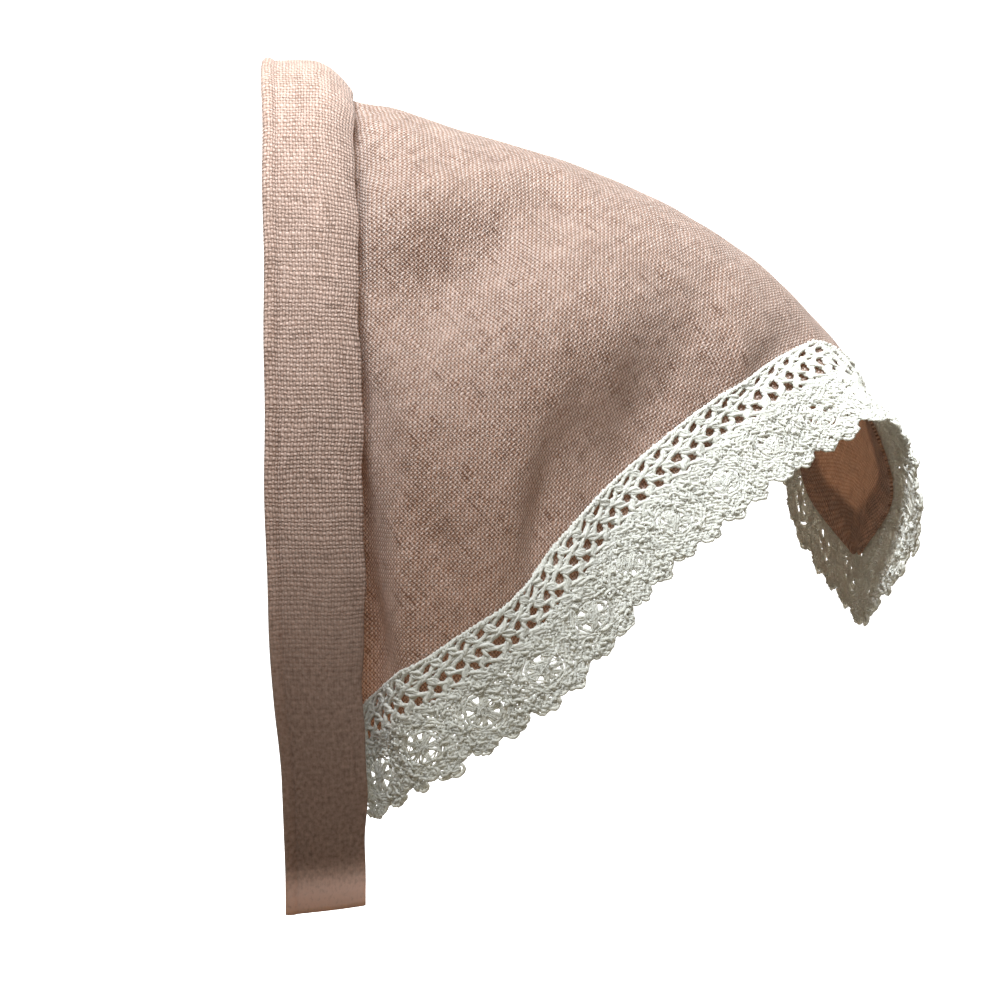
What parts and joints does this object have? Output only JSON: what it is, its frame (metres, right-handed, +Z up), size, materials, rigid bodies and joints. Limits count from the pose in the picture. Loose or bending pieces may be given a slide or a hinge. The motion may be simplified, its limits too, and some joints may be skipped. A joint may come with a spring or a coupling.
{
  "type": "bandana headband",
  "caption": "Child's kerchief headband of pink linen: a folded band with free strap ends over a draped triangular crown, edged with scalloped cotton lace; worn over the head.",
  "frame": {"origin": "inside of the band at the top of the head, where it sits on the wearer's head", "axes": "+Z up, +Y to the back of the head, +X to the wearer's left; the wearer faces -Y"},
  "size_m": [0.1367, 0.1768, 0.2239],
  "materials": {
    "band_linen": "matte slubby plain-weave linen",
    "crown_linen": "matte slubby plain-weave linen",
    "left_lace_cotton": "matte off-white cotton thread",
    "right_lace_cotton": "matte off-white cotton thread"
  },
  "bodies": {
    "root": {"front_band": "band_linen", "crown": "crown_linen", "lace_left": "left_lace_cotton", "lace_right": "right_lace_cotton"}
  },
  "joints": []
}
